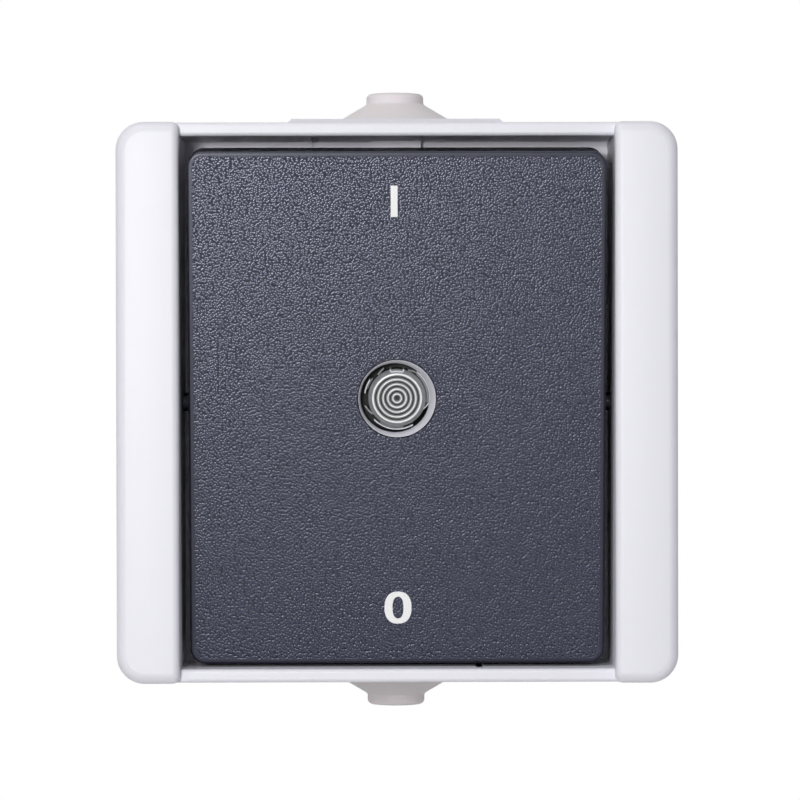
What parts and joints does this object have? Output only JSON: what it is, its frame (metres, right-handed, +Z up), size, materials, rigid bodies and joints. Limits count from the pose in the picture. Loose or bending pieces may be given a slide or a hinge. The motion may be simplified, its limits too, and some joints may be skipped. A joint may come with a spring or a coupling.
{
  "type": "outdoor weatherproof switch",
  "caption": "Surface-mounted weatherproof rocker switch with raised side rails, grained rocker, ringed indicator lens and soft cable glands above and below.",
  "frame": {"origin": "centre of the base's back face, on the wall", "axes": "+X to the right seen from the front, +Y into the wall, +Z up; the front faces -Y"},
  "size_m": [0.066, 0.053, 0.0776],
  "materials": {
    "base_plastic": "fine satin moulded shell",
    "cover_plastic": "smooth satin moulded shell",
    "gland_elastomer": "soft matt moulded elastomer",
    "seal_rubber": "matt black seal",
    "rocker_plastic": "spark-eroded grain with smooth edges",
    "lens_plastic": "clear ringed lens",
    "insert_plastic": "moulded thermoset",
    "toggle_plastic": "moulded nylon",
    "plunger_plastic": "low-friction moulding",
    "lamp_holder_plastic": "moulded nylon",
    "lamp_glass": "clear bulb",
    "resistor_ceramic": "lacquered body",
    "terminal_brass": "stamped brass",
    "contact_silver": "silver alloy contact",
    "screw_steel": "zinc-plated steel",
    "spring_steel": "drawn spring wire"
  },
  "bodies": {
    "housing": {"base_box": "base_plastic", "bottom_gland": "gland_elastomer", "cover_frame": "cover_plastic", "cover_gasket": "seal_rubber", "cover_screws": "screw_steel", "glow_lamp": "lamp_glass", "lamp_holder": "lamp_holder_plastic", "lamp_resistor": "resistor_ceramic", "left_feed_strip": "terminal_brass", "left_fixed_contact": "contact_silver", "left_lamp_tab": "terminal_brass", "left_load_strip": "terminal_brass", "lid_screws": "screw_steel", "lower_left_terminal": "terminal_brass", "lower_right_terminal": "terminal_brass", "mechanism_block": "insert_plastic", "mechanism_lid": "insert_plastic", "mechanism_screws": "screw_steel", "mechanism_seal": "seal_rubber", "right_feed_strip": "terminal_brass", "right_fixed_contact": "contact_silver", "right_lamp_tab": "terminal_brass", "right_load_strip": "terminal_brass", "terminal_screws": "screw_steel", "top_gland": "gland_elastomer", "upper_left_terminal": "terminal_brass", "upper_right_terminal": "terminal_brass"},
    "rocker": {"rocker": "rocker_plastic", "lens": "lens_plastic"},
    "toggle": {"toggle": "toggle_plastic", "left_plunger_spring": "spring_steel", "right_plunger_spring": "spring_steel"},
    "left_plunger": {"left_plunger": "plunger_plastic"},
    "left_contact": {"left_contact_lever": "terminal_brass", "left_moving_contact": "contact_silver"},
    "right_plunger": {"right_plunger": "plunger_plastic"},
    "right_contact": {"right_contact_lever": "terminal_brass", "right_moving_contact": "contact_silver"}
  },
  "joints": [
    {"name": "rocker_tilt", "type": "hinge", "parent": "housing", "child": "rocker", "pos_m": [0, -0.0417, 0], "axis": [-1, 0, 0], "range_deg": [0, 11.2]},
    {"name": "toggle_swing", "type": "hinge", "parent": "housing", "child": "toggle", "pos_m": [0, -0.027, 0], "axis": [1, 0, 0], "range_deg": [0, 16.24]},
    {"name": "left_contact_rock", "type": "hinge", "parent": "housing", "child": "left_contact", "pos_m": [-0.009, -0.01473, 0], "axis": [-1, 0, 0], "range_deg": [0, 16]},
    {"name": "left_plunger_slide", "type": "slide", "parent": "toggle", "child": "left_plunger", "axis": [0, -0.99, 0.1412], "range_m": [0, 0.0005], "stiffness_N_per_m": 400, "springref_m": -0.004, "deforming": ["left_plunger_spring"]},
    {"name": "right_contact_rock", "type": "hinge", "parent": "housing", "child": "right_contact", "pos_m": [0.009, -0.01473, 0], "axis": [-1, 0, 0], "range_deg": [0, 16]},
    {"name": "right_plunger_slide", "type": "slide", "parent": "toggle", "child": "right_plunger", "axis": [0, -0.99, 0.1412], "range_m": [0, 0.0005], "stiffness_N_per_m": 400, "springref_m": -0.004, "deforming": ["right_plunger_spring"]}
  ],
  "couplings": [
    {"joint": "toggle_swing", "follows": "rocker_tilt", "ratio": 1.45},
    {"joint": "left_contact_rock", "follows": "rocker_tilt", "ratio": 1.4286},
    {"joint": "right_contact_rock", "follows": "rocker_tilt", "ratio": 1.4286}
  ]
}
